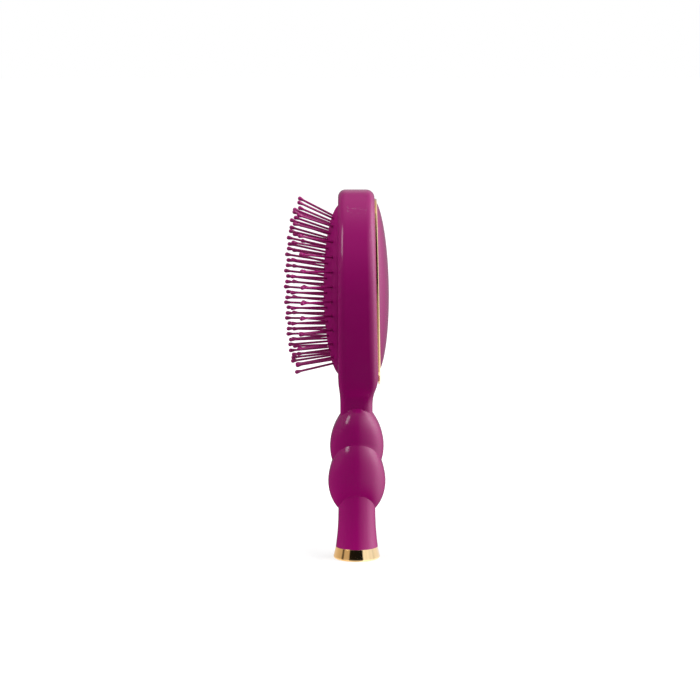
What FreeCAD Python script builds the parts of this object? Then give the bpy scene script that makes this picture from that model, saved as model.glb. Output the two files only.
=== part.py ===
import FreeCAD, Part
import math
import os
import re
import Sketcher

from FreeCAD import Matrix, Placement, Rotation, Vector

# A hand-held detangling brush that stands on its base.
# +Z runs up the handle from the base, -Y is the pin side, +Y the back, X is across the head.
# Lengths are millimetres, angles degrees, and a name that ends in share is a plain ratio.
SIZES = {
    # Handle from the floor up: ring, flared stem, two bulbs that overlap, neck
    "ring_height": 6.4,
    "stem_length": 20.9,
    "lower_bulb_length": 25.7,
    "upper_bulb_length": 24.6,
    "neck_length": 8.4,
    "stem_foot_radius": 11.35,
    "lower_bulb_half_depth": 15.5,
    "lower_bulb_half_width": 15.2,
    "lower_bulb_centre_share": 0.5914,
    "lower_bulb_reach_share": 0.7743,
    "upper_bulb_half_depth": 14.5,
    "upper_bulb_half_width": 13.8,
    "upper_bulb_centre_share": 0.3537,
    "upper_bulb_reach_share": 0.8171,
    "upper_bulb_cap_share": 0.9204,
    "neck_crease_rise": 5.9,
    "middle_crease_rise": 10.8,
    "stem_crease_rise": 8.2,
    "crease_crown_share": 1.25,
    "crease_foot_share": 0.714,
    "handle_bore_radius": 6.0,
    "bore_top_gap": 3.7,
    # End ring and base plug
    "ring_flare": 1.25,
    "ring_wall": 1.4,
    "ring_foot_height": 1.2,
    "ring_edge_radius": 1.0,
    "plug_flange_thickness": 1.8,
    "plug_stem_length": 9.0,
    "plug_wall": 1.8,
    "seat_clearance": 0.05,
    # Cushion, clamped behind the lip of the head's opening
    "cushion_half_width": 25.3,
    "cushion_rise": 43.6,
    "cushion_drop": 47.2,
    "cushion_crown": 7.8,
    "cushion_crown_centre": 2.0,
    "cushion_wall": 1.5,
    "cushion_flange_width": 1.6,
    "cushion_flange_thickness": 1.4,
    "lip_thickness": 2.5,
    "opening_clearance": 0.15,
    "vent_radius": 1.0,
    "vent_row_share": 8.5,
    "backing_thickness": 2.4,
    "backing_rib_depth": 5.0,
    "backing_rib_wall": 1.6,
    "backing_rib_pitch": 22.0,
    "breather_radius": 2.0,
    # Head round the cushion, and the neck under it, one moulding with the handle
    "head_side_rim": 7.7,
    "head_top_rim": 8.4,
    "head_foot_rim": 14.8,
    "head_front_depth": 10.1,
    "back_depth": 10.4,
    "back_lean": 1.25,
    "neck_half_width": 8.4,
    "neck_front_depth": 8.95,
    "neck_back_depth": 8.45,
    "neck_root_share": 0.3134,
    "neck_blend_start_share": 0.76,
    "neck_blend_reach_share": 0.2742,
    "neck_corner_share": 0.889,
    "front_edge_radius": 4.0,
    "back_edge_radius": 4.5,
    # Gold bezel on the head's back and the domed cover inside it
    "bezel_side_margin": 3.8,
    "bezel_top_margin": 4.9,
    "bezel_foot_margin": 8.9,
    "bezel_thickness": 1.2,
    "bezel_skirt_inset": 1.2,
    "bezel_skirt_depth": 2.2,
    "bezel_edge_radius": 0.4,
    "bezel_side_border": 2.3,
    "bezel_top_border": 2.1,
    "bezel_tail": 8.5,
    "cover_ledge": 1.1,
    "cover_crown": 5.5,
    "cover_crown_centre": 3.0,
    "cover_wall": 1.6,
    "cover_skirt_depth": 1.8,
    # Pins: staggered rows, fanned out from the crown of the cushion
    "pin_field_side_margin": 3.9,
    "pin_field_end_margin": 4.2,
    "pin_top_gap": 2.0,
    "pin_foot_gap": 2.4,
    "pin_least_spacing": 4.8,
    "pin_length": 21.4,
    "pin_shaft_radius": 0.6,
    "pin_tip_radius": 1.1,
    "pin_tip_taper": 2.4,
    "pin_tip_start": 12.4,
    "pin_flange_radius": 1.3,
    "pin_flange_thickness": 0.7,
    "pin_flange_gap": 0.6,
    "pin_hole_clearance": 0.06,
    "pin_edge_lean": 41.7,
    "pin_fan_bias": 4.5,
    "pin_fan_up_share": 1.15,
    "pin_fan_down_share": 0.9,
    # Room that every cutting shape runs past the face it opens
    "overrun": 2.0,
    # How near an edge lies to the place where a rounding wants it
    "pick_tolerance": 0.5,
}
PIN_ROWS = 11
# Sizes that follow from the others, in the order in which they build on each other
FOLLOWING = {
    "stem_crease_height": "ring_height + stem_length",
    "middle_crease_height": "stem_crease_height + lower_bulb_length",
    "neck_crease_height": "middle_crease_height + upper_bulb_length",
    "lower_bulb_height": "stem_crease_height + lower_bulb_centre_share * lower_bulb_length",
    "lower_bulb_half_length": "lower_bulb_reach_share * lower_bulb_length",
    "upper_bulb_height": "middle_crease_height + upper_bulb_centre_share * upper_bulb_length",
    "upper_bulb_half_length": "upper_bulb_reach_share * upper_bulb_length",
    "upper_bulb_cap_height": "upper_bulb_height + upper_bulb_cap_share * upper_bulb_half_length",
    "handle_bore_top": "upper_bulb_height - bore_top_gap",
    "ring_top_radius": "stem_foot_radius",
    "ring_foot_radius": "stem_foot_radius + ring_flare",
    "spigot_radius": "stem_foot_radius - ring_wall",
    "head_half_width": "cushion_half_width + head_side_rim",
    "head_rise": "cushion_rise + head_top_rim",
    "head_drop": "cushion_drop + head_foot_rim",
    "head_foot_height": "neck_crease_height + neck_length",
    "head_centre_height": "head_foot_height + head_drop",
    "overall_height": "head_centre_height + head_rise",
    "neck_foot_height": "upper_bulb_height + neck_root_share * upper_bulb_half_length",
    "neck_blend_low": "neck_crease_height + neck_blend_start_share * neck_length",
    "neck_blend_high": "head_foot_height + neck_blend_reach_share * head_drop",
    "neck_corner_radius": "neck_corner_share * (head_foot_height - neck_foot_height)",
    "bezel_half_width": "head_half_width - bezel_side_margin",
    "bezel_rise": "head_rise - bezel_top_margin",
    "bezel_drop": "head_drop - bezel_foot_margin",
    "cover_half_width": "bezel_half_width - bezel_side_border",
    "cover_rise": "bezel_rise - bezel_top_border",
    "cover_drop": "bezel_drop - bezel_tail",
    "pin_field_half_width": "cushion_half_width - pin_field_side_margin",
    "pin_field_rise": "cushion_rise - pin_field_end_margin",
    "pin_field_drop": "cushion_drop - pin_field_end_margin",
    "pin_top_height": "head_centre_height + pin_field_rise - pin_top_gap",
    "pin_pitch": f"(pin_field_rise - pin_top_gap + pin_field_drop - pin_foot_gap) / {PIN_ROWS - 1}",
    "vent_height": "pin_top_height - vent_row_share * pin_pitch",
}
LOOP_POINTS = 32
SECTIONS = 8

doc = FreeCAD.newDocument("detangling_brush")
sheet = doc.addObject("Spreadsheet::Sheet", "Sizes")
for line, (alias, entry) in enumerate([*SIZES.items(), *FOLLOWING.items()], start=1):
    sheet.set(f"A{line}", alias)
    sheet.set(f"B{line}", f"={entry}")
    sheet.setAlias(f"B{line}", alias)
doc.recompute()


def size(alias):
    """The number in the sheet's cell of that name."""
    return float(sheet.get(alias))


def in_sheet(formula):
    """A formula in the sheet's words, with the sheet's name put before each of them."""
    known = SIZES.keys() | FOLLOWING.keys()
    return re.sub(r"[a-z_]+", lambda word: f"Sizes.{word[0]}" if word[0] in known else word[0], formula)


def value(formula):
    """What a formula in the sheet's words comes to."""
    return float(sheet.evalExpression(in_sheet(formula)))


def bind(item, **formulas):
    """Tie properties of a document object to formulas in the sheet's words."""
    for name, formula in formulas.items():
        item.setExpression(name.replace("__", "."), in_sheet(formula))


def feature(name, shape):
    """A document object for a shape that has no feature of its own."""
    item = doc.addObject("Part::Feature", name)
    item.Shape = shape
    return item


def fuse(name, *items):
    """Several objects joined into one."""
    item = doc.addObject("Part::MultiFuse", name)
    item.Shapes = list(items)
    return item


def cut(name, base, tool):
    """An object with another taken out of it."""
    item = doc.addObject("Part::Cut", name)
    item.Base = base
    item.Tool = tool
    return item


def half_ellipse(half_width, height):
    """Half an ellipse in the XZ plane, from +X round to -X, over the top or under for a negative height."""
    unit = Part.makeCircle(1, Vector(), Vector(0, -1, 0), 0, 180)
    stretch = Matrix()
    stretch.scale(half_width, 1, height)
    return unit.transformGeometry(stretch)


def egg_face(name, half_width, rise, drop):
    """An egg outline about the origin: half an ellipse above and a longer one below."""
    upper = half_ellipse(value(half_width), value(rise))
    lower = half_ellipse(value(half_width), -value(drop))
    return feature(name, Part.Face(Part.Wire(Part.__sortEdges__([upper, lower]))))


def egg_prism(name, half_width, rise, drop, start, depth, height="head_centre_height"):
    """An egg outline drawn out along +Y from the depth given as start."""
    prism = doc.addObject("Part::Extrusion", name)
    prism.Base = egg_face(f"{name}_outline", half_width, rise, drop)
    prism.DirMode = "Custom"
    prism.Dir = Vector(0, 1, 0)
    prism.Solid = True
    bind(prism, LengthFwd=depth, Placement__Base__y=start, Placement__Base__z=height)
    return prism


def egg_dome(name, half_width, rise, drop, half_depth, centre, height="head_centre_height"):
    """An ellipsoid with a longer lower half, about a centre at the given depth."""
    halves = []
    for label, length, low, high in (("above", rise, 0, 90), ("below", drop, -90, 0)):
        half = doc.addObject("Part::Ellipsoid", f"{name}_{label}")
        half.Angle1 = low
        half.Angle2 = high
        bind(half, Radius1=length, Radius2=half_width, Radius3=half_depth)
        bind(half, Placement__Base__y=centre, Placement__Base__z=height)
        halves.append(half)
    return fuse(name, *halves)


def slab(name, near, far):
    """A block across the whole part between two depths."""
    block = doc.addObject("Part::Box", name)
    bind(block, Length="2 * overall_height", Width=f"({far}) - ({near})", Height="2 * overall_height")
    bind(block, Placement__Base__x="-overall_height", Placement__Base__y=near,
         Placement__Base__z="-overall_height / 2")
    return block


def common(name, first, second):
    """What two objects have in common."""
    item = doc.addObject("Part::Common", name)
    item.Base = first
    item.Tool = second
    return item


def round_edges(name, base, radius, chosen):
    """Fillet the edges of an object that a test picks."""
    doc.recompute()
    item = doc.addObject("Part::Fillet", name)
    item.Base = base
    item.Edges = [(n, radius, radius) for n, edge in enumerate(base.Shape.Edges, start=1) if chosen(edge)]
    return item


def back_placement():
    """The leaning plane of the head's back, which carries the bezel and the cover."""
    place = Vector(0, size("back_depth"), size("head_centre_height"))
    return Placement(place, Rotation(Vector(1, 0, 0), size("back_lean")))


def side_profile():
    """The head and neck from the side: flat front and leaning back, drawn in together at the neck."""
    top = size("overall_height") + size("overrun")
    foot = size("neck_foot_height")
    low = size("neck_blend_low")
    high = size("neck_blend_high")
    middle = (low + high) / 2
    front = -size("head_front_depth")
    neck_front = -size("neck_front_depth")
    neck_back = size("neck_back_depth")
    lean = math.tan(math.radians(size("back_lean")))

    def back(height):
        return size("back_depth") + (size("head_centre_height") - height) * lean

    def blend(first, first_handle, last_handle, last):
        curve = Part.BezierCurve()
        corners = (first, first_handle, last_handle, last)
        curve.setPoles([Vector(0, *corner) for corner in corners])
        return curve.toShape()

    def line(first, last):
        return Part.makeLine(Vector(0, *first), Vector(0, *last))

    edges = [
        line((front, top), (front, high)),
        blend((front, high), (front, middle), (neck_front, middle), (neck_front, low)),
        line((neck_front, low), (neck_front, foot)),
        line((neck_front, foot), (neck_back, foot)),
        line((neck_back, foot), (neck_back, low)),
        blend((neck_back, low), (neck_back, middle), (back(middle), middle), (back(high), high)),
        line((back(high), high), (back(top), top)),
        line((back(top), top), (front, top)),
    ]
    return Part.Face(Part.Wire(edges))


def head_and_neck():
    """The flat egg-shaped head and its neck, with every outer edge rounded."""
    plan_depth = "2 * overall_height"
    head = egg_prism("head_plan", "head_half_width", "head_rise", "head_drop",
                     "-overall_height", plan_depth)
    neck = doc.addObject("Part::Box", "neck_plan")
    bind(neck, Length="2 * neck_half_width", Width=plan_depth,
         Height="head_centre_height - neck_foot_height")
    bind(neck, Placement__Base__x="-neck_half_width", Placement__Base__y="-overall_height",
         Placement__Base__z="neck_foot_height")
    plan = fuse("head_neck_plan", head, neck)
    foot = size("neck_foot_height")

    def in_neck_corner(edge):
        box = edge.BoundBox
        runs_through = box.YLength > size("overall_height")
        beside_neck = abs(abs(box.Center.x) - size("neck_half_width")) < size("pick_tolerance")
        return runs_through and beside_neck and box.ZMin > foot + size("pick_tolerance")

    plan = round_edges("neck_corners", plan, size("neck_corner_radius"), in_neck_corner)
    side = doc.addObject("Part::Extrusion", "head_side")
    side.Base = feature("head_side_outline", side_profile())
    side.DirMode = "Custom"
    side.Dir = Vector(1, 0, 0)
    side.Solid = True
    side.Symmetric = True
    bind(side, LengthFwd="2 * overall_height")
    blank = common("head_blank", plan, side)
    doc.recompute()

    def on_outline(edge, front):
        box = edge.BoundBox
        crosses = box.XMin < -size("neck_half_width") / 2 and box.XMax > size("neck_half_width") / 2
        across = crosses and box.ZLength < size("pick_tolerance")
        at_foot = box.ZMax < foot + size("pick_tolerance")
        if across or at_foot or box.YLength > size("head_front_depth"):
            return False
        return box.Center.y < 0 if front else box.Center.y > 0

    front_radius = size("front_edge_radius")
    rounded = round_edges("front_edges", blank, front_radius, lambda edge: on_outline(edge, True))
    doc.recompute()
    high = size("neck_blend_high")
    lean = math.tan(math.radians(size("back_lean")))

    def on_back(edge):
        span = edge.LastParameter - edge.FirstParameter
        for share in (0, 0.5, 1):
            point = edge.valueAt(edge.FirstParameter + span * share)
            plane = size("back_depth") + (size("head_centre_height") - point.z) * lean
            if point.z >= high and abs(point.y - plane) > size("seat_clearance"):
                return False
            if point.y < size("neck_back_depth") - size("seat_clearance"):
                return False
        return on_outline(edge, False)

    return round_edges("back_edges", rounded, size("back_edge_radius"), on_back)


def lift(across):
    """How far up its rise a crease has come, from the middle (0) to the side (1): a broad arch."""
    return (1 - (1 - across * across) ** size("crease_crown_share")) ** size("crease_foot_share")


def handle_loop(height, half_depth, half_width, rise):
    """One turn round the handle: an oval that climbs by its rise towards both sides."""
    points = []
    for step in range(LOOP_POINTS):
        turn = 2 * math.pi * step / LOOP_POINTS
        across = math.sin(turn)
        climb = rise * lift(abs(across))
        points.append(Vector(half_width * across, half_depth * math.cos(turn), height + climb))
    curve = Part.BSplineCurve()
    curve.interpolate(Points=points, PeriodicFlag=True)
    return Part.Wire(curve.toShape())


def bulb_loop(bulb, height, rise):
    """A turn of one bulb, whose profile is an ellipse up the handle."""
    offset = (height - size(f"{bulb}_bulb_height")) / size(f"{bulb}_bulb_half_length")
    share = math.sqrt(1 - offset * offset)
    return handle_loop(height, size(f"{bulb}_bulb_half_depth") * share,
                       size(f"{bulb}_bulb_half_width") * share, rise)


def between(first, last, step):
    """A value on the way from the first to the last section of a loft."""
    return first + (last - first) * step / SECTIONS


def handle():
    """Both bulbs and the stem: lofts that share the loop of each crease, sewn into one solid."""
    neck_crease = size("neck_crease_height")
    middle_crease = size("middle_crease_height")
    stem_crease = size("stem_crease_height")
    ring_top = size("ring_height")
    middle_loop = bulb_loop("lower", middle_crease, size("middle_crease_rise"))
    stem_loop = bulb_loop("lower", stem_crease, size("stem_crease_rise"))

    upper = [middle_loop]
    for step in range(1, SECTIONS + 1):
        rise = between(size("middle_crease_rise"), size("neck_crease_rise"), step)
        upper.append(bulb_loop("upper", between(middle_crease, neck_crease, step), rise))
    cap_loop = bulb_loop("upper", size("upper_bulb_cap_height"), 0)
    upper.append(cap_loop)

    lower = [middle_loop]
    for step in range(1, SECTIONS):
        rise = between(size("middle_crease_rise"), size("stem_crease_rise"), step)
        lower.append(bulb_loop("lower", between(middle_crease, stem_crease, step), rise))
    lower.append(stem_loop)

    offset = (stem_crease - size("lower_bulb_height")) / size("lower_bulb_half_length")
    waist_share = math.sqrt(1 - offset * offset)
    foot = size("stem_foot_radius")
    stem = [stem_loop]
    for step in range(1, SECTIONS + 1):
        flare_share = (step / SECTIONS) ** 2
        half_depth = size("lower_bulb_half_depth") * waist_share
        half_width = size("lower_bulb_half_width") * waist_share
        stem.append(handle_loop(between(stem_crease, ring_top, step),
                                half_depth + (foot - half_depth) * flare_share,
                                half_width + (foot - half_width) * flare_share,
                                size("stem_crease_rise") * (1 - step / SECTIONS) ** 2))

    faces = [Part.Face(cap_loop), Part.Face(stem[-1])]
    for loops in (upper, lower, stem):
        faces.extend(Part.makeLoft(loops, False, False).Faces)
    skin = Part.Compound(faces)
    skin.sewShape()
    solid = Part.Solid(skin.Shells[0])
    if solid.Volume < 0:
        solid.reverse()
    return feature("handle", solid)


def body():
    """The one-piece moulding: open head frame with a front lip, neck, bulbs, stem and spigot."""
    spigot = doc.addObject("Part::Cylinder", "spigot")
    bind(spigot, Radius="spigot_radius", Height="ring_height + overrun - plug_flange_thickness",
         Placement__Base__z="plug_flange_thickness")
    blank = fuse("body_blank", head_and_neck(), handle(), spigot)
    opening = egg_prism("front_opening", "cushion_half_width + opening_clearance",
                        "cushion_rise + opening_clearance", "cushion_drop + opening_clearance",
                        "-head_front_depth - overrun", "head_front_depth + overrun")
    chamber = egg_prism("chamber", "cushion_half_width + cushion_flange_width + opening_clearance",
                        "cushion_rise + cushion_flange_width + opening_clearance",
                        "cushion_drop + cushion_flange_width + opening_clearance",
                        "lip_thickness - head_front_depth", "head_front_depth + back_depth + overrun")
    rebate = egg_prism("bezel_rebate", "bezel_half_width - bezel_skirt_inset + opening_clearance",
                       "bezel_rise - bezel_skirt_inset + opening_clearance",
                       "bezel_drop - bezel_skirt_inset + opening_clearance",
                       "-bezel_skirt_depth - seat_clearance", "bezel_skirt_depth + 4 * overrun", "0")
    rebate_seat = doc.addObject("Part::Compound", "rebate_seat")
    rebate_seat.Links = [rebate]
    rebate_seat.Placement = back_placement()
    bore = doc.addObject("Part::Cylinder", "handle_bore")
    bind(bore, Radius="handle_bore_radius", Height="handle_bore_top")
    return cut("body", blank, fuse("body_hollows", opening, chamber, rebate_seat, bore))


def egg_cap(name, half_width, rise, drop, crown, centre, base, outward, height, inset="0"):
    """A shallow dome on an egg outline: the end of an ellipsoid whose centre lies behind the outline."""
    spread = f"sqrt(1 - ({centre} / ({crown} + {centre}))^2)"
    dome = egg_dome(f"{name}_ellipsoid", f"{half_width} / {spread} - {inset}",
                    f"{rise} / {spread} - {inset}", f"{drop} / {spread} - {inset}",
                    f"{crown} + {centre} - {inset}",
                    f"{base} - ({outward}) * {centre}", height)
    beyond = f"{base} + ({outward}) * overall_height"
    near, far = (base, beyond) if outward > 0 else (beyond, base)
    return common(name, dome, slab(f"{name}_side", near, far))


def dome_height(across, along):
    """How far the cushion's skin stands out of the rim at a place on its outline."""
    crown = size("cushion_crown")
    centre = size("cushion_crown_centre")
    spread = math.sqrt(1 - (centre / (crown + centre)) ** 2)
    length = size("cushion_rise") if along > 0 else size("cushion_drop")
    inside = 1 - (across * spread / size("cushion_half_width")) ** 2 - (along * spread / length) ** 2
    return (crown + centre) * math.sqrt(inside) - centre


def pin_fan(along):
    """The angle at which a pin points up: the slope of the skin under it, opened out, plus a bias."""
    crown = size("cushion_crown")
    centre = size("cushion_crown_centre")
    spread = math.sqrt(1 - (centre / (crown + centre)) ** 2)
    length = (size("cushion_rise") if along > 0 else size("cushion_drop")) / spread
    out = dome_height(0, along) + centre
    slope = math.degrees(math.atan((crown + centre) ** 2 * along / (length ** 2 * out)))
    gain = size("pin_fan_up_share") if along > 0 else size("pin_fan_down_share")
    return size("pin_fan_bias") + gain * slope


def pin_root_length():
    """The stretch of a pin that is inside the skin, down to the foot of its flange."""
    return size("pin_flange_thickness") + size("pin_flange_gap") + size("cushion_wall")


def field_half_width(along):
    """Half the width of the pin field at a height from the middle of the head."""
    length = size("pin_field_rise") if along > 0 else size("pin_field_drop")
    return size("pin_field_half_width") * math.sqrt(max(0, 1 - (along / length) ** 2))


def row_places(row):
    """Where the pins of one zigzag row stand: three above, or two at the ends, and four below."""
    places = []
    upper = size("pin_top_height") - row * size("pin_pitch") - size("head_centre_height")
    half = field_half_width(upper)
    if half * 2 / 3 < size("pin_least_spacing"):
        places.extend((across, upper) for across in (-half, half))
    else:
        places.extend((half * 2 / 3 * column, upper) for column in (-1, 0, 1))
    lower = upper - size("pin_pitch") / 2
    if lower > -size("pin_field_drop"):
        half = field_half_width(lower)
        places.extend((half * column / 3, lower) for column in (-3, -1, 1, 3))
    return places


def pin_placement(across, along):
    """A pin's place: its root on the skin, leaning out to the side and fanned up or down."""
    depth = -size("head_front_depth") - dome_height(across, along)
    root = Vector(across, depth, size("head_centre_height") + along)
    lean_share = across / size("pin_field_half_width")
    lean = math.tan(math.radians(size("pin_edge_lean") * lean_share))
    fan = math.tan(math.radians(pin_fan(along)))
    way = Vector(lean, -1, fan).normalize()
    return Placement(root - way * pin_root_length(), Rotation(Vector(0, 0, 1), way))


def profile_body(name, corners, tip_radius=None):
    """A turned piece: a closed profile of radius and height formulas, revolved about its axis.

    With a tip radius, the stretch before the last corner is an arc about the axis."""
    piece = doc.addObject("PartDesign::Body", name)
    plane = next(item for item in piece.Origin.OriginFeatures if item.Role == "XZ_Plane")
    sketch = piece.newObject("Sketcher::SketchObject", f"{name}_profile")
    sketch.AttachmentSupport = [(plane, "")]
    sketch.MapMode = "FlatFace"
    points = [Vector(value(radius), value(height), 0) for radius, height in corners]
    count = len(points)
    for index in range(count):
        first = points[index]
        last = points[(index + 1) % count]
        if tip_radius and index == count - 2:
            radius = value(tip_radius)
            centre = Vector(0, last.y - radius, 0)
            circle = Part.Circle(centre, Vector(0, 0, 1), radius)
            start = math.atan2(first.y - centre.y, first.x)
            sketch.addGeometry(Part.ArcOfCircle(circle, start, math.pi / 2), False)
        else:
            sketch.addGeometry(Part.LineSegment(first, last), False)
    for index in range(count):
        sketch.addConstraint(Sketcher.Constraint("Coincident", index, 2, (index + 1) % count, 1))
    for index, (radius, height) in enumerate(corners):
        for kind, axis, formula, place in (("DistanceX", -2, radius, points[index].x),
                                           ("DistanceY", -1, height, points[index].y)):
            if formula == "0":
                sketch.addConstraint(Sketcher.Constraint("PointOnObject", index, 1, axis))
                continue
            if tip_radius and index == count - 2 and kind == "DistanceY":
                continue
            number = sketch.addConstraint(Sketcher.Constraint(kind, -1, 1, index, 1, place))
            sketch.setExpression(f"Constraints[{number}]", in_sheet(formula))
    if tip_radius:
        sketch.addConstraint(Sketcher.Constraint("PointOnObject", count - 2, 3, -2))
        number = sketch.addConstraint(Sketcher.Constraint("Radius", count - 2, value(tip_radius)))
        sketch.setExpression(f"Constraints[{number}]", in_sheet(tip_radius))
    doc.recompute()
    turned = piece.newObject("PartDesign::Revolution", f"{name}_turned")
    turned.Profile = sketch
    turned.ReferenceAxis = (sketch, ["V_Axis"])
    turned.Angle = 360
    doc.recompute()
    return piece


def cushion(holes):
    """The domed rubber skin with its clamping flange, a hole for each pin and a vent."""
    outer = fuse("cushion_outside",
                 egg_cap("cushion_dome", "cushion_half_width", "cushion_rise", "cushion_drop",
                         "cushion_crown", "cushion_crown_centre", "-head_front_depth", -1,
                         "head_centre_height"),
                 egg_prism("cushion_collar", "cushion_half_width", "cushion_rise", "cushion_drop",
                           "-head_front_depth", "lip_thickness + cushion_flange_thickness"),
                 egg_prism("cushion_flange", "cushion_half_width + cushion_flange_width",
                           "cushion_rise + cushion_flange_width", "cushion_drop + cushion_flange_width",
                           "lip_thickness - head_front_depth", "cushion_flange_thickness"))
    inner = fuse("cushion_inside",
                 egg_cap("cushion_hollow", "cushion_half_width", "cushion_rise", "cushion_drop",
                         "cushion_crown", "cushion_crown_centre", "-head_front_depth", -1,
                         "head_centre_height", "cushion_wall"),
                 egg_prism("cushion_mouth", "cushion_half_width - cushion_wall",
                           "cushion_rise - cushion_wall", "cushion_drop - cushion_wall",
                           "-head_front_depth",
                           "lip_thickness + cushion_flange_thickness + overrun"))
    vent = doc.addObject("Part::Cylinder", "cushion_vent")
    vent.Placement.Rotation = Rotation(Vector(1, 0, 0), 90)
    bind(vent, Radius="vent_radius", Height="head_front_depth + cushion_crown + overrun",
         Placement__Base__z="vent_height")
    skin = cut("cushion_skin", outer, inner)
    return cut("cushion", skin, fuse("cushion_holes", vent, *holes))


def backing_plate():
    """The stiff plate behind the cushion's flange, ribbed on its back, with a breather hole."""
    outline = ("cushion_half_width + cushion_flange_width", "cushion_rise + cushion_flange_width",
               "cushion_drop + cushion_flange_width")
    seat = "lip_thickness + cushion_flange_thickness - head_front_depth"
    plate = egg_prism("backing_sheet", *outline, seat, "backing_thickness")
    bounds = egg_prism("rib_bounds", *outline, f"{seat} + backing_thickness", "backing_rib_depth")
    ribs = []
    for step in (-1, 0, 1):
        rib = doc.addObject("Part::Box", f"cross_rib_{step + 2}")
        bind(rib, Length="2 * head_half_width", Width="backing_rib_depth", Height="backing_rib_wall")
        bind(rib, Placement__Base__x="-head_half_width", Placement__Base__y=f"{seat} + backing_thickness",
             Placement__Base__z=f"head_centre_height + {step} * backing_rib_pitch - backing_rib_wall / 2")
        ribs.append(rib)
    spine = doc.addObject("Part::Box", "spine_rib")
    bind(spine, Length="backing_rib_wall", Width="backing_rib_depth", Height="overall_height")
    bind(spine, Placement__Base__x="-backing_rib_wall / 2",
         Placement__Base__y=f"{seat} + backing_thickness", Placement__Base__z="0")
    grid = common("backing_ribs", fuse("rib_grid", spine, *ribs), bounds)
    breather = doc.addObject("Part::Cylinder", "breather")
    breather.Placement.Rotation = Rotation(Vector(1, 0, 0), 90)
    bind(breather, Radius="breather_radius", Height="2 * head_front_depth",
         Placement__Base__x="backing_rib_pitch / 2", Placement__Base__z="vent_height")
    return cut("backing_plate", fuse("ribbed_plate", plate, grid), breather)


def back_bezel():
    """The gilded trim: a thin flange round the cover, a skirt let into the head and a solid tail."""
    flange = egg_prism("bezel_flange", "bezel_half_width", "bezel_rise", "bezel_drop", "0",
                       "bezel_thickness", "0")

    def outer_rim(edge):
        return abs(edge.BoundBox.YMin - size("bezel_thickness")) < size("seat_clearance") / 2

    flange = round_edges("bezel_rim", flange, size("bezel_edge_radius"), outer_rim)
    window = egg_prism("bezel_window", "cover_half_width + opening_clearance",
                       "cover_rise + opening_clearance", "cover_drop + opening_clearance", "0",
                       "bezel_thickness + overrun", "0")
    skirt = egg_prism("bezel_skirt", "bezel_half_width - bezel_skirt_inset",
                      "bezel_rise - bezel_skirt_inset", "bezel_drop - bezel_skirt_inset",
                      "-bezel_skirt_depth", "bezel_skirt_depth", "0")
    throat = egg_prism("bezel_throat", "cover_half_width - cover_ledge", "cover_rise - cover_ledge",
                       "cover_drop - cover_ledge", "-bezel_skirt_depth - overrun",
                       "bezel_skirt_depth + 2 * overrun", "0")
    bezel = cut("back_bezel", fuse("bezel_blank", flange, skirt), fuse("bezel_hollows", window, throat))
    bezel.Placement = back_placement()
    return bezel


def back_cover():
    """The domed shell of the back, with a rim that lies in the bezel and a skirt inside it."""
    dome = egg_cap("cover_dome", "cover_half_width", "cover_rise", "cover_drop", "cover_crown",
                   "cover_crown_centre", "bezel_thickness", 1, "0")
    rim = egg_prism("cover_rim", "cover_half_width", "cover_rise", "cover_drop", "0",
                    "bezel_thickness", "0")
    inset = "(cover_ledge + opening_clearance)"
    skirt = egg_prism("cover_skirt", f"cover_half_width - {inset}", f"cover_rise - {inset}",
                      f"cover_drop - {inset}", "-cover_skirt_depth", "cover_skirt_depth", "0")
    hollow = egg_cap("cover_hollow", "cover_half_width", "cover_rise", "cover_drop", "cover_crown",
                     "cover_crown_centre", "bezel_thickness", 1, "0", "cover_wall")
    mouth_inset = "(cover_ledge + opening_clearance + cover_wall)"
    mouth = egg_prism("cover_mouth", f"cover_half_width - {mouth_inset}", f"cover_rise - {mouth_inset}",
                      f"cover_drop - {mouth_inset}", "-cover_skirt_depth - overrun",
                      "cover_skirt_depth + overrun + bezel_thickness", "0")
    cover = cut("back_cover", fuse("cover_blank", dome, rim, skirt), fuse("cover_hollows", hollow, mouth))
    cover.Placement = back_placement()
    return cover


def end_ring():
    """The flared gilded ring on the spigot at the foot of the handle."""
    ring = profile_body("end_ring", [
        ("spigot_radius + seat_clearance", "0"),
        ("ring_foot_radius", "0"),
        ("ring_foot_radius", "ring_foot_height"),
        ("ring_top_radius", "ring_height"),
        ("spigot_radius + seat_clearance", "ring_height"),
    ])
    turned = ring.Tip
    rounding = ring.newObject("PartDesign::Fillet", "end_ring_edge")
    names = [f"Edge{n}" for n, edge in enumerate(turned.Shape.Edges, start=1)
             if edge.BoundBox.ZMax < size("seat_clearance")
             and edge.BoundBox.XMax > size("ring_foot_radius") - size("seat_clearance")
             and edge.BoundBox.XLength > size("ring_foot_radius")]
    rounding.Base = (turned, names)
    bind(rounding, Radius="ring_edge_radius")
    doc.recompute()
    return ring


def base_plug():
    """The plug that closes the handle: a disc inside the ring and a hollow stem up the bore."""
    return profile_body("base_plug", [
        ("0", "0"),
        ("spigot_radius", "0"),
        ("spigot_radius", "plug_flange_thickness"),
        ("handle_bore_radius - seat_clearance", "plug_flange_thickness"),
        ("handle_bore_radius - seat_clearance", "plug_flange_thickness + plug_stem_length"),
        ("handle_bore_radius - seat_clearance - plug_wall", "plug_flange_thickness + plug_stem_length"),
        ("handle_bore_radius - seat_clearance - plug_wall", "plug_flange_thickness"),
        ("0", "plug_flange_thickness"),
    ])


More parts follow.
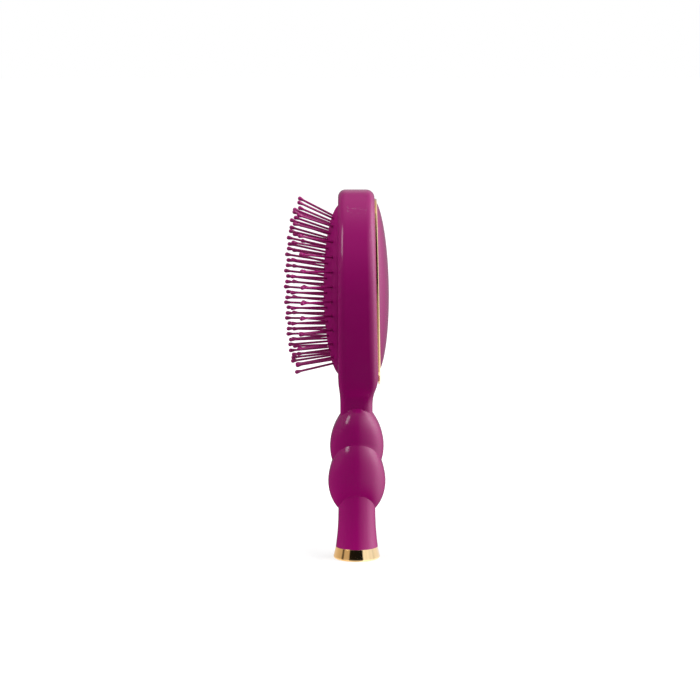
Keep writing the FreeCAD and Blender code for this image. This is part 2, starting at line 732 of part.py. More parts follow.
def pin():
    """One nylon pin: flange, shaft that swells to a drop, and ball tip, standing on its flange."""
    root = "pin_flange_thickness + pin_flange_gap + cushion_wall"
    ball = f"{root} + pin_length - pin_tip_radius"
    return profile_body("pin", [
        ("0", "0"),
        ("pin_flange_radius", "0"),
        ("pin_flange_radius", "pin_flange_thickness"),
        ("pin_shaft_radius", "pin_flange_thickness"),
        ("pin_shaft_radius", f"{ball} - pin_tip_taper"),
        ("pin_tip_radius * cos(pin_tip_start)", f"{ball} - pin_tip_radius * sin(pin_tip_start)"),
        ("0", f"{root} + pin_length"),
    ], "pin_tip_radius")


def pin_rows(master):
    """The zigzag rows of pins, each row a group of separate pins."""
    rows = []
    for row in range(PIN_ROWS):
        pins = []
        for across, along in row_places(row):
            copy = master.Shape.copy()
            copy.Placement = pin_placement(across, along)
            pins.append(copy)
        item = feature(f"pins_row_{row + 1:02d}", Part.Compound(pins))
        rows.append(item)
    return rows


def pin_holes():
    """A hole through the cushion's skin for each pin."""
    radius = size("pin_shaft_radius") + size("pin_hole_clearance")
    reach = pin_root_length() + size("overrun")
    drills = []
    for row in range(PIN_ROWS):
        for across, along in row_places(row):
            drill = Part.makeCylinder(radius, reach)
            drill.Placement = pin_placement(across, along)
            drills.append(drill)
    return [feature(f"pin_hole_{number:02d}", drill) for number, drill in enumerate(drills, start=1)]


master_pin = pin()
pieces = [body(), backing_plate(), back_bezel(), back_cover(), end_ring(), base_plug()]
pieces.append(cushion(pin_holes()))
pieces.extend(pin_rows(master_pin))
doc.recompute()

for item in doc.Objects:
    if "Invalid" in item.State or "Error" in item.State:
        raise RuntimeError(f"{item.Name} failed: {item.State}")
for piece in pieces:
    piece.Label = piece.Name
    if piece.Shape.isNull() or not piece.Shape.isValid():
        raise RuntimeError(f"{piece.Label} is not a sound shape")

os.makedirs("parts", exist_ok=True)
for piece in pieces:
    piece.Shape.exportStep(f"parts/{piece.Label}.step")
    print(piece.Label, len(piece.Shape.Solids), round(piece.Shape.Volume, 1))
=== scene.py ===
import math

import bmesh
import bpy
from bpy.props import FloatProperty, FloatVectorProperty, IntProperty, PointerProperty
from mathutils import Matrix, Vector


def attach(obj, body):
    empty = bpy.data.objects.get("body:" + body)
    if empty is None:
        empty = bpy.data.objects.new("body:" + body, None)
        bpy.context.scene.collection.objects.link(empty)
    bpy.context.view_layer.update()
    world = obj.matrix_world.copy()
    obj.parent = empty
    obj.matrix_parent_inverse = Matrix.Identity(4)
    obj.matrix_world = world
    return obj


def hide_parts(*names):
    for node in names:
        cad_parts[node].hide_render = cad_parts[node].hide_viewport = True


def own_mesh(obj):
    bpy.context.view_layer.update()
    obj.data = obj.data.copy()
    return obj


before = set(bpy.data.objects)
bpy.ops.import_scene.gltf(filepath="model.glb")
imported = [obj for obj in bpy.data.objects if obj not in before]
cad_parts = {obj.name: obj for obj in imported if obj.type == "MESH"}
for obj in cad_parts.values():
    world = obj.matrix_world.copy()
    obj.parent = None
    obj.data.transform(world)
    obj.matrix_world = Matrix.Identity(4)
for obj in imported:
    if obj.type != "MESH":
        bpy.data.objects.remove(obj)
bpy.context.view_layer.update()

bl_info = {
    "name": "Detangling brush",
    "version": (1, 0, 0),
    "blender": (4, 5, 0),
    "location": "View3D > Sidebar > Brush",
    "description": "Dresses the packed brush: cushion, pins, mouldings, gilt trim and studio",
    "category": "Object",
}

MM = 0.001
ROOT_BODY = "brush"
GILT_NODES = ("back_bezel", "end_ring")
PIN_ROWS = sorted(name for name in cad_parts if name.startswith("pins_row_"))
# Edges of the cushion that turn by more than this stay crisp
CREASE_ANGLE = math.radians(50)
# The range in which the values of a noise mostly lie
NOISE_LOW = 0.3
NOISE_HIGH = 0.7
# Rays that look for an edge to round
EDGE_SAMPLES = 6
# What the plastic mirrors, in degrees: level by turn round the brush, share of it by climb, and a level
# by climb that is added
PLASTIC_TURNS = (
    (-180, 0.15), (-172, 0.12), (-158, 0.05), (-100, 0.045), (-8, 0.005), (6, 0.01),
    (22, 0.15), (37, 0.27), (52, 0.42), (67, 0.62), (80, 0.9), (95, 1.0),
    (110, 0.76), (127, 0.42), (142, 0.2), (160, 0.12), (180, 0.15))
PLASTIC_CLIMBS = (
    (-90, 0.0), (-68, 0.0), (-50, 0.14), (-40, 0.28), (-30, 0.4), (-15, 0.48), (0, 0.62),
    (15, 0.95), (30, 1.06), (42, 0.86), (52, 0.42), (66, 0.1), (90, 0.05))
PLASTIC_ABOVE = ((-90, 0.0), (10, 0.0), (48, 0.16), (58, 0.3), (66, 0.46), (74, 0.58), (90, 0.58))
PLASTIC_GAIN = 3.4
PLASTIC_REACH = 2.6
# What the gilt mirrors, in the same way: bright to the left and the right, with a dark gap towards the eye.
# Its shell stands inside the plastic's
GILT_TURNS = (
    (-180, 0.5), (-130, 0.7), (-84, 0.62), (-80, 0.12), (-72, 0.1), (-68, 0.6), (-41, 0.6),
    (-37, 0.012), (30, 0.012), (34, 1.5), (52, 1.36), (58, 1.5), (70, 1.3), (84, 1.38),
    (92, 1.08), (100, 1.28), (112, 1.36), (150, 1.1), (180, 0.7))
GILT_CLIMBS = ((-90, 1.0), (-30, 0.95), (0, 0.9), (40, 1.0), (90, 0.8))
GILT_ABOVE = (
    (-90, 0.7), (-45, 0.6), (-26, 0.5), (-12, 0.34), (-2, 0.15), (6, 0.0), (40, 0.0),
    (70, 0.2), (90, 0.3))
GILT_GAIN = 1.25
GILT_REACH = 2.4
WARM_BOARD = "FFEFDA"
COOL_BOARD = "DFEAFF"
WHITE_BOARD = "FFFFFF"
# Light that comes back from the floor under the brush, tinted by the plum above it
PLUM_BOUNCE = "FF84F6"
FLOOR_LAMP_LIFT = 0.5 * MM
# The floor glows less near the brush, so that the shadow shows there, and more further off
FLOOR_BOARD = "F9F9F9"
FLOOR_HALF_SIZE = 4.0
FLOOR_NEAR = 40 * MM
FLOOR_FAR = 160 * MM
FLOOR_NEAR_GLOW = 1.02
FLOOR_FAR_GLOW = 1.36
FLOOR_GLOW_SHARE = 0.72
SENSOR_WIDTH = 36.0


def linear(code):
    """The linear red, green and blue of an sRGB hex colour."""
    parts = [int(code[place:place + 2], 16) / 255 for place in (0, 2, 4)]
    return tuple(part / 12.92 if part <= 0.04045 else ((part + 0.055) / 1.055) ** 2.4 for part in parts)


class DetanglerColours(bpy.types.PropertyGroup):
    """Colours of the brush's finishes."""

    plum: FloatVectorProperty(
        name="Plum", description="Moulded plastic of the body and the back",
        default=linear("8B085F"), size=3, min=0, max=1, subtype="COLOR")
    plum_deep: FloatVectorProperty(
        name="Deep plum", description="Darker drift in the moulded plastic",
        default=linear("820758"), size=3, min=0, max=1, subtype="COLOR")
    rubber: FloatVectorProperty(
        name="Rubber", description="Skin of the air cushion",
        default=linear("8C0860"), size=3, min=0, max=1, subtype="COLOR")
    rubber_deep: FloatVectorProperty(
        name="Deep rubber", description="Speckle in the cushion's skin",
        default=linear("7C0654"), size=3, min=0, max=1, subtype="COLOR")
    nylon: FloatVectorProperty(
        name="Nylon", description="Pins",
        default=linear("9A1A6C"), size=3, min=0, max=1, subtype="COLOR")
    nylon_deep: FloatVectorProperty(
        name="Deep nylon", description="Darker drift along the pins",
        default=linear("86105C"), size=3, min=0, max=1, subtype="COLOR")
    gilt: FloatVectorProperty(
        name="Gilt", description="Gold plate of the bezel and the ring",
        default=linear("EBC995"), size=3, min=0, max=1, subtype="COLOR")
    gilt_deep: FloatVectorProperty(
        name="Deep gilt", description="Warmer patches of the gold plate",
        default=linear("E2B87C"), size=3, min=0, max=1, subtype="COLOR")


class DetanglerCushion(bpy.types.PropertyGroup):
    """Sizes of the air cushion and of the pin field on it."""

    middle: FloatProperty(
        name="Middle height", description="Height of the widest place of the head",
        default=148 * MM, unit="LENGTH")
    rim: FloatProperty(
        name="Rim depth", description="How far in front of the handle's axis the cushion leaves the head",
        default=10.1 * MM, unit="LENGTH")
    half_width: FloatProperty(
        name="Half width", description="Half the width of the cushion",
        default=25.3 * MM, unit="LENGTH")
    rise: FloatProperty(
        name="Rise", description="Length of the cushion above its middle",
        default=43.6 * MM, unit="LENGTH")
    drop: FloatProperty(
        name="Drop", description="Length of the cushion below its middle",
        default=47.2 * MM, unit="LENGTH")
    crown: FloatProperty(
        name="Crown", description="How far the cushion swells out of the head",
        default=7.8 * MM, unit="LENGTH")
    crown_centre: FloatProperty(
        name="Crown centre", description="How far behind the rim the swell has its centre",
        default=2.0 * MM, unit="LENGTH")
    lip: FloatProperty(
        name="Lip", description="Thickness of the head's lip that holds the cushion",
        default=2.5 * MM, unit="LENGTH")
    flange_width: FloatProperty(
        name="Flange width", description="How far the cushion's foot goes behind the lip",
        default=1.6 * MM, unit="LENGTH")
    flange_thickness: FloatProperty(
        name="Flange thickness", description="Thickness of the cushion's foot",
        default=1.4 * MM, unit="LENGTH")
    dimple_radius: FloatProperty(
        name="Dimple radius", description="Reach of the pit round the root of each pin",
        default=1.35 * MM, unit="LENGTH")
    dimple_depth: FloatProperty(
        name="Dimple depth", description="Depth of the pit round the root of each pin",
        default=0.55 * MM, unit="LENGTH")
    vent_height: FloatProperty(
        name="Vent height", description="Height of the air vent in the cushion",
        default=119.1 * MM, unit="LENGTH")
    vent_depth: FloatProperty(
        name="Vent depth", description="Depth at which the vent goes out of sight",
        default=1.4 * MM, unit="LENGTH")
    top_row: FloatProperty(
        name="Top row", description="Height of the highest pins' roots",
        default=185.4 * MM, unit="LENGTH")
    pitch: FloatProperty(
        name="Pin pitch", description="Spacing of the pin rows up the head",
        default=7.8 * MM, unit="LENGTH")
    field_half_width: FloatProperty(
        name="Field half width", description="Half the width of the pin field",
        default=21.4 * MM, unit="LENGTH")
    field_rise: FloatProperty(
        name="Field rise", description="Length of the pin field above its middle",
        default=39.4 * MM, unit="LENGTH")
    field_drop: FloatProperty(
        name="Field drop", description="Length of the pin field below its middle",
        default=43.0 * MM, unit="LENGTH")
    least_spacing: FloatProperty(
        name="Least spacing", description="Spacing under which a row of three becomes a row of two",
        default=4.8 * MM, unit="LENGTH")
    cells_across: IntProperty(
        name="Cells across", description="Mesh cells across the cushion", default=128, min=16)
    cells_along: IntProperty(
        name="Cells along", description="Mesh cells along the cushion", default=216, min=16)
    pressed_share: FloatProperty(
        name="Pressed share", description="Share of the swell that is left when the pins are pressed in",
        default=0.55, min=0.1, max=1, subtype="FACTOR")


class DetanglerStudio(bpy.types.PropertyGroup):
    """Camera and lamps."""

    lens: FloatProperty(
        name="Lens", description="Focal length on a sensor 36 mm wide", default=169.7, unit="CAMERA")
    distance: FloatProperty(
        name="Camera distance", description="From the camera to the point it looks at",
        default=1.7705, unit="LENGTH")
    tilt: FloatProperty(
        name="Camera tilt", description="How far the camera looks down",
        default=math.radians(8.4), subtype="ANGLE")
    aim: FloatVectorProperty(
        name="Aim", description="Point in the middle of the picture",
        default=(0, -3.7 * MM, 113.6 * MM), size=3, subtype="TRANSLATION")
    glint_power: FloatProperty(
        name="Glint lamp", description="Power of the small lamp mirrored on the pin side",
        default=3.0, unit="POWER")
    left_power: FloatProperty(
        name="Left lamp", description="Power of the wide lamp on the pin side",
        default=10.4, unit="POWER")
    right_power: FloatProperty(
        name="Right lamp", description="Power of the wide lamp towards the back's side",
        default=13.4, unit="POWER")
    back_power: FloatProperty(
        name="Back lamp", description="Power of the wide lamp behind the back",
        default=20.0, unit="POWER")
    top_power: FloatProperty(
        name="Top lamp", description="Power of the small lamp overhead", default=7.0, unit="POWER")
    floor_power: FloatProperty(
        name="Floor lamp", description="Power of the light that the floor throws back",
        default=0.165, unit="POWER")
    fill: FloatProperty(
        name="Fill", description="Strength of the light from all round",
        default=0.3, min=0, subtype="FACTOR")


def add_node(tree, kind, settings=None, links=None):
    """Add a node, set its properties and sockets by name, and link its inputs from other outputs."""
    node = tree.nodes.new(kind)
    for name, value in (settings or {}).items():
        if hasattr(node, name):
            setattr(node, name, value)
        else:
            node.inputs[name].default_value = value
    for name, source in (links or {}).items():
        tree.links.new(source, node.inputs[name])
    return node


def surface(name):
    """A new material with an empty node tree, and the tree."""
    material = bpy.data.materials.new(name)
    material.use_nodes = True
    material.node_tree.nodes.clear()
    return material, material.node_tree


def per_mm(length):
    """The scale of a noise whose features are that many millimetres apart."""
    return 1 / (length * MM)


def opaque(colour):
    """A colour socket's value."""
    return (*colour, 1)


def moulded_material(name, colour, deep, settings, drift, wear, grain, grain_height,
                     streak=(1, 1, 1), edge=0):
    """A moulded surface: colour that drifts, gloss that varies in patches, and a fine grain.

    drift, wear and grain are spacings in millimetres. wear also holds the least and the most roughness.
    streak stretches the drift and the patches along an axis where it is under 1. edge is the radius in
    millimetres that light sees on sharp edges."""
    material, tree = surface(name)
    place = add_node(tree, "ShaderNodeTexCoord")
    flow = add_node(tree, "ShaderNodeMapping", {"Scale": streak}, {"Vector": place.outputs["Object"]})
    clouds = add_node(tree, "ShaderNodeTexNoise", {"Scale": per_mm(drift), "Detail": 3},
                      {"Vector": flow.outputs["Vector"]})
    tint = add_node(tree, "ShaderNodeMix", {"data_type": "RGBA", "A": opaque(colour), "B": opaque(deep)},
                    {"Factor": clouds.outputs["Fac"]})
    spacing, least, most = wear
    patches = add_node(tree, "ShaderNodeTexNoise", {"Scale": per_mm(spacing), "Detail": 4},
                       {"Vector": flow.outputs["Vector"]})
    gloss = add_node(tree, "ShaderNodeMapRange",
                     {"From Min": NOISE_LOW, "From Max": NOISE_HIGH, "To Min": least, "To Max": most},
                     {"Value": patches.outputs["Fac"]})
    pores = add_node(tree, "ShaderNodeTexNoise", {"Scale": per_mm(grain), "Detail": 2},
                     {"Vector": place.outputs["Object"]})
    relief = add_node(tree, "ShaderNodeBump", {"Strength": 1.0, "Distance": grain_height * MM},
                      {"Height": pores.outputs["Fac"]})
    if edge:
        rounding = add_node(tree, "ShaderNodeBevel", {"samples": EDGE_SAMPLES, "Radius": edge * MM})
        tree.links.new(rounding.outputs["Normal"], relief.inputs["Normal"])
    shader = add_node(tree, "ShaderNodeBsdfPrincipled", settings,
                      {"Base Color": tint.outputs["Result"], "Roughness": gloss.outputs["Result"],
                       "Normal": relief.outputs["Normal"]})
    add_node(tree, "ShaderNodeOutputMaterial", None, {"Surface": shader.outputs["BSDF"]})
    return material


def plum_abs(colours):
    """ABS, injection-moulded in a polished tool: an even satin gloss with a slight orange peel."""
    return moulded_material("moulded_plum_abs", colours.plum, colours.plum_deep, {"IOR": 1.54},
                            drift=38, wear=(9, 0.13, 0.18), grain=1.6, grain_height=0.003)


def cushion_rubber(colours):
    """Silicone rubber, moulded in a lightly blasted tool: dull sheen and a fine speckle."""
    # The real grain is too fine to show, so it is drawn as coarse as it needs to be seen
    return moulded_material("moulded_cushion_rubber", colours.rubber, colours.rubber_deep,
                            {"IOR": 1.43, "Specular IOR Level": 0.1},
                            drift=1.1, wear=(5, 0.42, 0.54), grain=0.7, grain_height=0.03)


def pin_nylon(colours):
    """Nylon, moulded and tumbled: soft gloss with faint flow lines along the pins."""
    # The scuffs of the tumbling are drawn coarser than real ones, which are too fine to show
    return moulded_material("tumbled_plum_nylon", colours.nylon, colours.nylon_deep, {"IOR": 1.53},
                            drift=2.4, wear=(3, 0.26, 0.36), grain=0.5, grain_height=0.006,
                            streak=(1, 0.2, 1))


def gilt_plate(colours):
    """Electroplated gold on polished ABS: mirror bright, with a slight ripple from the plastic."""
    return moulded_material("gold_plated_abs", colours.gilt, colours.gilt_deep, {"Metallic": 1.0},
                            drift=6, wear=(4, 0.07, 0.12), grain=3.5, grain_height=0.035, edge=0.4)


def plain_polypropylene(colours):
    """Polypropylene, moulded with a dull blasted finish, for the pieces inside and under the brush."""
    # The blasted grain is drawn coarser than the real one, which is too fine to show
    return moulded_material("blasted_plum_polypropylene", colours.plum, colours.plum_deep, {"IOR": 1.49},
                            drift=12, wear=(4, 0.45, 0.6), grain=0.4, grain_height=0.02)


def dress(node, material):
    """Give a CAD node one material."""
    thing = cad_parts[node]
    thing.data.materials.clear()
    thing.data.materials.append(material)


def half_field(sizes, along):
    """Half the width of the pin field at a distance up from the middle of the head."""
    length = sizes.field_rise if along > 0 else sizes.field_drop
    return sizes.field_half_width * math.sqrt(max(0, 1 - (along / length) ** 2))


def pin_places(sizes):
    """Where the pins stand on the cushion, as distances across and up from its middle."""
    # A row zigzags: three pins at its upper height, or two where the field is narrow, and four at its lower
    places = []
    for row in range(len(PIN_ROWS)):
        upper = sizes.top_row - row * sizes.pitch - sizes.middle
        reach = half_field(sizes, upper)
        if reach * 2 / 3 < sizes.least_spacing:
            places += [(-reach, upper), (reach, upper)]
        else:
            places += [(reach * 2 / 3 * column, upper) for column in (-1, 0, 1)]
        lower = upper - sizes.pitch / 2
        if lower > -sizes.field_drop:
            places += [(half_field(sizes, lower) * column / 3, lower) for column in (-3, -1, 1, 3)]
    return places


def swell(sizes, across, along):
    """How far the cushion stands out of its rim at a place, 0 at the rim."""
    full = sizes.crown + sizes.crown_centre
    spread = 1 - (sizes.crown_centre / full) ** 2
    length = sizes.rise if along > 0 else sizes.drop
    reach = (across / sizes.half_width) ** 2 + (along / length) ** 2
    return full * math.sqrt(max(0, 1 - spread * reach)) - sizes.crown_centre


def pit(distance, radius, depth):
    """Depth of a round pit at a distance from its middle."""
    if distance >= radius:
        return 0
    return depth * (0.5 + 0.5 * math.cos(math.pi * distance / radius))


def cushion_mesh(sizes):
    """The cushion's skin as a grid pressed into the egg outline, with a pit at each root and a foot."""
    roots = pin_places(sizes)
    vent = sizes.vent_height - sizes.middle
    skin = bmesh.new()
    lines = []
    for step_along in range(sizes.cells_along + 1):
        share_along = 2 * step_along / sizes.cells_along - 1
        line = []
        for step_across in range(sizes.cells_across + 1):
            share_across = 2 * step_across / sizes.cells_across - 1
            across = sizes.half_width * share_across * math.sqrt(1 - share_along * share_along / 2)
            up = share_along * math.sqrt(1 - share_across * share_across / 2)
            along = up * (sizes.rise if up > 0 else sizes.drop)
            out = swell(sizes, across, along)
            for root_across, root_along in roots:
                if abs(root_along - along) < sizes.dimple_radius:
                    gap = math.hypot(across - root_across, along - root_along)
                    out -= pit(gap, sizes.dimple_radius, sizes.dimple_depth)
            out -= pit(math.hypot(across, along - vent), sizes.dimple_radius, sizes.vent_depth)
            line.append(skin.verts.new((across, -sizes.rim - out, sizes.middle + along)))
        lines.append(line)
    for low, high in zip(lines, lines[1:]):
        for left in range(sizes.cells_across):
            skin.faces.new((low[left], low[left + 1], high[left + 1], high[left]))
    foot = ((0, sizes.lip), (sizes.flange_width, 0), (0, sizes.flange_thickness))
    for outward, backward in foot:
        rim = [edge for edge in skin.edges if edge.is_boundary]
        made = bmesh.ops.extrude_edge_only(skin, edges=rim)["geom"]
        for vert in (item for item in made if isinstance(item, bmesh.types.BMVert)):
            away = Vector((vert.co.x, 0, vert.co.z - sizes.middle))
            vert.co += away.normalized() * outward + Vector((0, backward, 0))
    bmesh.ops.contextual_create(skin, geom=[edge for edge in skin.edges if edge.is_boundary])
    bmesh.ops.recalc_face_normals(skin, faces=skin.faces[:])
    mesh = bpy.data.meshes.new("air_cushion")
    skin.to_mesh(mesh)
    skin.free()
    mesh.shade_smooth()
    mesh.set_sharp_from_angle(angle=CREASE_ANGLE)
    return mesh


class DETANGLER_OT_cushion(bpy.types.Operator):
    """Build the air cushion with a pit at each pin, in place of the CAD solid"""

    bl_idname = "detangler.cushion"
    bl_label = "Air cushion"

    def execute(self, context):
        sizes = context.scene.detangler_cushion
        cushion = bpy.data.objects.new("air_cushion", cushion_mesh(sizes))
        context.scene.collection.objects.link(cushion)
        cushion.data.materials.append(cushion_rubber(context.scene.detangler_colours))
        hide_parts("cushion")
        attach(cushion, ROOT_BODY)
        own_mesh(cushion)
        return {"FINISHED"}


class DETANGLER_OT_pins(bpy.types.Operator):
    """Finish the rows of ball-tipped pins"""

    bl_idname = "detangler.pins"
    bl_label = "Pins"

    def execute(self, context):
        nylon = pin_nylon(context.scene.detangler_colours)
        for row in PIN_ROWS:
            dress(row, nylon)
        return {"FINISHED"}


class DETANGLER_OT_mouldings(bpy.types.Operator):
    """Finish the body and the domed back"""

    bl_idname = "detangler.mouldings"
    bl_label = "Body and back"

    def execute(self, context):
        abs_plastic = plum_abs(context.scene.detangler_colours)
        dress("body", abs_plastic)
        dress("back_cover", abs_plastic)
        return {"FINISHED"}


class DETANGLER_OT_trim(bpy.types.Operator):
    """Finish the gilt bezel and the gilt end ring"""

    bl_idname = "detangler.trim"
    bl_label = "Gilt trim"

    def execute(self, context):
        gilt = gilt_plate(context.scene.detangler_colours)
        for node in GILT_NODES:
            dress(node, gilt)
        return {"FINISHED"}


class DETANGLER_OT_inner(bpy.types.Operator):
    """Finish the backing plate inside the head and the plug under the handle"""

    bl_idname = "detangler.inner"
    bl_label = "Backing plate and plug"

    def execute(self, context):
        plain = plain_polypropylene(context.scene.detangler_colours)
        dress("backing_plate", plain)
        dress("base_plug", plain)
        return {"FINISHED"}


def seen_directly(tree):
    """An output that is 1 for the rays that show the background: direct, mirrored or sent through."""
    path = add_node(tree, "ShaderNodeLightPath")
    mirrored = add_node(tree, "ShaderNodeMath", {"operation": "MAXIMUM"})
    tree.links.new(path.outputs["Is Camera Ray"], mirrored.inputs[0])
    tree.links.new(path.outputs["Is Glossy Ray"], mirrored.inputs[1])
    through = add_node(tree, "ShaderNodeMath", {"operation": "MAXIMUM"})
    tree.links.new(mirrored.outputs["Value"], through.inputs[0])
    tree.links.new(path.outputs["Is Transmission Ray"], through.inputs[1])
    return through.outputs["Value"]


def white_world(scene, fill):
    """White where it is seen, and a gentle fill for the light that falls on the brush."""
    world = bpy.data.worlds.new("white_studio")
    world.use_nodes = True
    tree = world.node_tree
    tree.nodes.clear()
    level = add_node(tree, "ShaderNodeMapRange", {"To Min": fill, "To Max": 1.0},
                     {"Value": seen_directly(tree)})
    back = add_node(tree, "ShaderNodeBackground", {"Color": opaque(linear(WHITE_BOARD))},
                    {"Strength": level.outputs["Result"]})
    add_node(tree, "ShaderNodeOutputWorld", None, {"Surface": back.outputs["Background"]})
    scene.world = world


def floor_material():
    """Matt white board: lifted to the white of the backdrop for the eye, with the brush's shadow kept."""
    material, tree = surface("matt_white_board")
    place = add_node(tree, "ShaderNodeTexCoord")
    # The tooth of the board is drawn coarser than the real one, which is too fine to show
    tooth = add_node(tree, "ShaderNodeTexNoise", {"Scale": per_mm(2), "Detail": 2},
                     {"Vector": place.outputs["Object"]})
    relief = add_node(tree, "ShaderNodeBump", {"Strength": 0.1, "Distance": 0.02 * MM},
                      {"Height": tooth.outputs["Fac"]})
    away = add_node(tree, "ShaderNodeVectorMath", {"operation": "LENGTH"},
                    {"Vector": place.outputs["Object"]})
    lift = add_node(tree, "ShaderNodeMapRange",
                    {"From Min": FLOOR_NEAR, "From Max": FLOOR_FAR,
                     "To Min": FLOOR_NEAR_GLOW, "To Max": FLOOR_FAR_GLOW},
                    {"Value": away.outputs["Value"]})
    board = add_node(tree, "ShaderNodeBsdfDiffuse", {"Color": opaque(linear(FLOOR_BOARD))},
                     {"Normal": relief.outputs["Normal"]})
    glow = add_node(tree, "ShaderNodeEmission", {"Color": opaque(linear(WHITE_BOARD))},
                    {"Strength": lift.outputs["Result"]})
    share = add_node(tree, "ShaderNodeMapRange", {"To Max": FLOOR_GLOW_SHARE},
                     {"Value": seen_directly(tree)})
    mixed = add_node(tree, "ShaderNodeMixShader", None, {"Fac": share.outputs["Result"]})
    tree.links.new(board.outputs["BSDF"], mixed.inputs[1])
    tree.links.new(glow.outputs["Emission"], mixed.inputs[2])
    add_node(tree, "ShaderNodeOutputMaterial", None, {"Surface": mixed.outputs["Shader"]})
    return material


def board_of(scene, name, points, panels, material):
    """A board of the stage, made of flat panels."""
    mesh = bpy.data.meshes.new(name)
    mesh.from_pydata(points, [], panels)
    board = bpy.data.objects.new(name, mesh)
    board.data.materials.append(material)
    scene.collection.objects.link(board)
    return board


def shell_material(name, turns, climbs, above, gain, clear, left, right):
    """Cloth lit from behind, all round the brush, with its level set by the turn and the climb.

    It gives the plastic its soft sheen and the gilt its bright and dark bands. clear is 1 where rays go on
    through the cloth and 0 where they end. left and right are the hex colours of its two sides."""
    material, tree = surface(name)
    material.cycles.emission_sampling = "NONE"
    place = add_node(tree, "ShaderNodeTexCoord")
    turn = add_node(tree, "ShaderNodeTexGradient", {"gradient_type": "RADIAL"},
                    {"Vector": place.outputs["Object"]})
    way = add_node(tree, "ShaderNodeVectorMath", {"operation": "NORMALIZE"},
                   {"Vector": place.outputs["Object"]})
    parts = add_node(tree, "ShaderNodeSeparateXYZ", None, {"Vector": way.outputs["Vector"]})
    climb = add_node(tree, "ShaderNodeMapRange", {"From Min": -1.0, "From Max": 1.0},
                     {"Value": parts.outputs["Z"]})
    sides = [(0.5 + angle / 360, level, left if angle < 0 else right) for angle, level in turns]
    tables = [(turn.outputs["Fac"], sides)]
    for levels in (climbs, above):
        heights = [(0.5 + math.sin(math.radians(angle)) / 2, level, WHITE_BOARD)
                   for angle, level in levels]
        tables.append((climb.outputs["Result"], heights))
    tones = []
    for source, stops in tables:
        ramp = add_node(tree, "ShaderNodeValToRGB", None, {"Fac": source})
        marks = ramp.color_ramp.elements
        marks[0].position, marks[1].position = stops[0][0], stops[-1][0]
        for position, _, _ in stops[1:-1]:
            marks.new(position)
        for mark, (_, level, tint) in zip(marks, stops):
            mark.color = opaque(level * part for part in linear(tint))
        tones.append(ramp.outputs["Color"])
    share = add_node(tree, "ShaderNodeVectorMath", {"operation": "MULTIPLY"})
    tree.links.new(tones[0], share.inputs[0])
    tree.links.new(tones[1], share.inputs[1])
    level = add_node(tree, "ShaderNodeVectorMath", {"operation": "MULTIPLY_ADD"})
    tree.links.new(share.outputs["Vector"], level.inputs[0])
    level.inputs[1].default_value = (gain, gain, gain)
    tree.links.new(tones[2], level.inputs[2])
    glow = add_node(tree, "ShaderNodeEmission", {"Strength": 1.0}, {"Color": level.outputs["Vector"]})
    gauze = add_node(tree, "ShaderNodeBsdfTransparent", {"Color": (clear, clear, clear, 1)})
    both = add_node(tree, "ShaderNodeAddShader")
    tree.links.new(glow.outputs["Emission"], both.inputs[0])
    tree.links.new(gauze.outputs["BSDF"], both.inputs[1])
    add_node(tree, "ShaderNodeOutputMaterial", None, {"Surface": both.outputs["Shader"]})
    return material


def shell(scene, name, reach, material, state):
    """A round shell that only mirrored rays see: those of the gilt pieces alone, or of all but them."""
    ball = bmesh.new()
    bmesh.ops.create_uvsphere(ball, u_segments=48, v_segments=24, radius=reach)
    points = [tuple(vert.co) for vert in ball.verts]
    panels = [[vert.index for vert in face.verts] for face in ball.faces]
    ball.free()
    thing = board_of(scene, name, points, panels, material)
    thing.visible_camera = False
    thing.visible_diffuse = False
    thing.visible_shadow = False
    thing.visible_transmission = False
    receivers = bpy.data.collections.new(f"{name}_receivers")
    for node in GILT_NODES:
        receivers.objects.link(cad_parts[node])
    for item in receivers.collection_objects:
        item.light_linking.link_state = state
    thing.light_linking.receiver_collection = receivers


def lamp(scene, name, aim, power, turn, climb, reach, width, height, mirrored=False, colour=WHITE_BOARD):
    """A softbox that faces a point, from a turn round it, a climb above the horizon and a reach."""
    light = bpy.data.lights.new(name, "AREA")
    light.shape = "RECTANGLE"
    light.size = width
    light.size_y = height
    light.energy = power
    light.color = linear(colour)
    turn = math.radians(turn)
    climb = math.radians(climb)
    way = Vector((math.cos(turn) * math.cos(climb), math.sin(turn) * math.cos(climb), math.sin(climb)))
    thing = bpy.data.objects.new(name, light)
    thing.location = aim + way * reach
    thing.rotation_mode = "QUATERNION"
    thing.rotation_quaternion = (-way).to_track_quat("-Z", "Y")
    thing.visible_glossy = mirrored
    thing.visible_camera = False
    scene.collection.objects.link(thing)


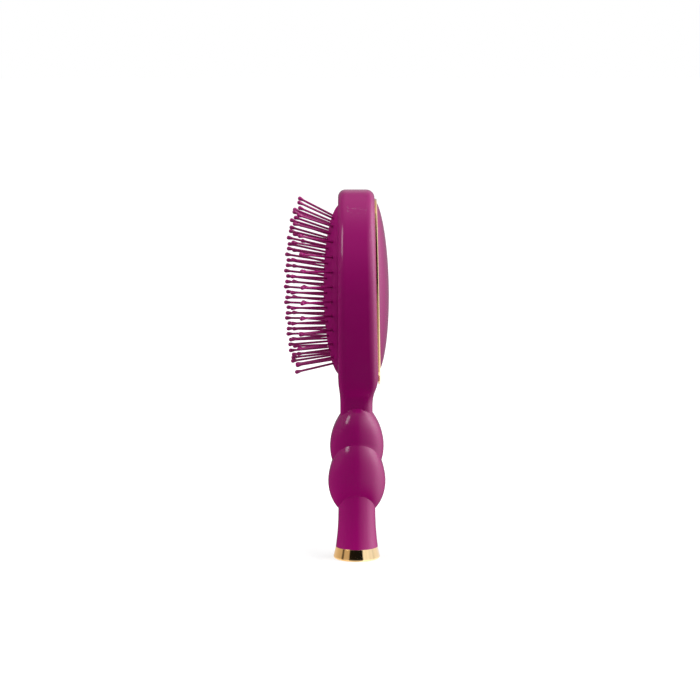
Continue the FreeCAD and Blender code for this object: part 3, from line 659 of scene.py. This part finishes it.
class DETANGLER_OT_stage(bpy.types.Operator):
    """Set up the floor, the backdrop, the mirrored shells, the lamps and the camera"""

    bl_idname = "detangler.stage"
    bl_label = "Studio"

    def execute(self, context):
        scene = context.scene
        studio = scene.detangler_studio
        scene.view_settings.view_transform = "Standard"
        white_world(scene, studio.fill)
        half = FLOOR_HALF_SIZE
        corners = ((-half, -half, 0), (half, -half, 0), (half, half, 0), (-half, half, 0))
        floor = board_of(scene, "floor", corners, ((0, 1, 2, 3),), floor_material())
        # Mirrored rays pass the floor and meet the shells, which are dim towards the eye,
        # and the light that the floor throws back comes from a lamp on it
        floor.visible_glossy = False
        floor.visible_diffuse = False
        plastic = shell_material("backlit_cloth_round_plastic", PLASTIC_TURNS, PLASTIC_CLIMBS,
                                 PLASTIC_ABOVE, PLASTIC_GAIN, 0, WHITE_BOARD, WHITE_BOARD)
        shell(scene, "plastic_shell", PLASTIC_REACH, plastic, "EXCLUDE")
        gilt = shell_material("backlit_cloth_round_gilt", GILT_TURNS, GILT_CLIMBS,
                              GILT_ABOVE, GILT_GAIN, 1, WARM_BOARD, COOL_BOARD)
        shell(scene, "gilt_shell", GILT_REACH, gilt, "INCLUDE")
        aim = Vector(studio.aim)
        lamp(scene, "glint_lamp", aim, studio.glint_power, turn=-58, climb=31, reach=1.3,
             width=0.42, height=0.56, mirrored=True)
        lamp(scene, "left_lamp", aim, studio.left_power, turn=-95, climb=14, reach=1.3,
             width=1.2, height=1.0)
        lamp(scene, "right_lamp", aim, studio.right_power, turn=62, climb=30, reach=1.3,
             width=0.9, height=0.8)
        lamp(scene, "back_lamp", aim, studio.back_power, turn=110, climb=16, reach=1.4,
             width=1.2, height=1.0)
        lamp(scene, "top_lamp", aim, studio.top_power, turn=-20, climb=80, reach=1.3,
             width=0.2, height=0.2)
        lamp(scene, "floor_lamp", aim, studio.floor_power, turn=0, climb=-90,
             reach=aim.z - FLOOR_LAMP_LIFT, width=0.22, height=0.22, colour=PLUM_BOUNCE)
        eye = bpy.data.cameras.new("camera")
        eye.lens = studio.lens
        eye.sensor_width = SENSOR_WIDTH
        camera = bpy.data.objects.new("camera", eye)
        back = Vector((math.cos(studio.tilt), 0, math.sin(studio.tilt)))
        camera.location = aim + back * studio.distance
        camera.rotation_mode = "QUATERNION"
        camera.rotation_quaternion = (-back).to_track_quat("-Z", "Y")
        scene.collection.objects.link(camera)
        scene.camera = camera
        return {"FINISHED"}


class DETANGLER_PT_brush(bpy.types.Panel):
    """The steps that dress the brush"""

    bl_label = "Detangling brush"
    bl_space_type = "VIEW_3D"
    bl_region_type = "UI"
    bl_category = "Brush"

    def draw(self, context):
        for step in STEPS:
            self.layout.operator(step.bl_idname)


STEPS = (DETANGLER_OT_cushion, DETANGLER_OT_pins, DETANGLER_OT_mouldings, DETANGLER_OT_trim,
         DETANGLER_OT_inner, DETANGLER_OT_stage)
CLASSES = (DetanglerColours, DetanglerCushion, DetanglerStudio, *STEPS, DETANGLER_PT_brush)


def register():
    """Add the classes and the scene's settings."""
    for item in CLASSES:
        bpy.utils.register_class(item)
    bpy.types.Scene.detangler_colours = PointerProperty(type=DetanglerColours)
    bpy.types.Scene.detangler_cushion = PointerProperty(type=DetanglerCushion)
    bpy.types.Scene.detangler_studio = PointerProperty(type=DetanglerStudio)


def unregister():
    """Take the settings and the classes away again."""
    del bpy.types.Scene.detangler_studio
    del bpy.types.Scene.detangler_cushion
    del bpy.types.Scene.detangler_colours
    for item in reversed(CLASSES):
        bpy.utils.unregister_class(item)


def main():
    """Dress the brush step by step."""
    register()
    bpy.ops.detangler.cushion()
    bpy.ops.detangler.pins()
    bpy.ops.detangler.mouldings()
    bpy.ops.detangler.trim()
    bpy.ops.detangler.inner()
    bpy.ops.detangler.stage()


if __name__ == "__main__":
    main()
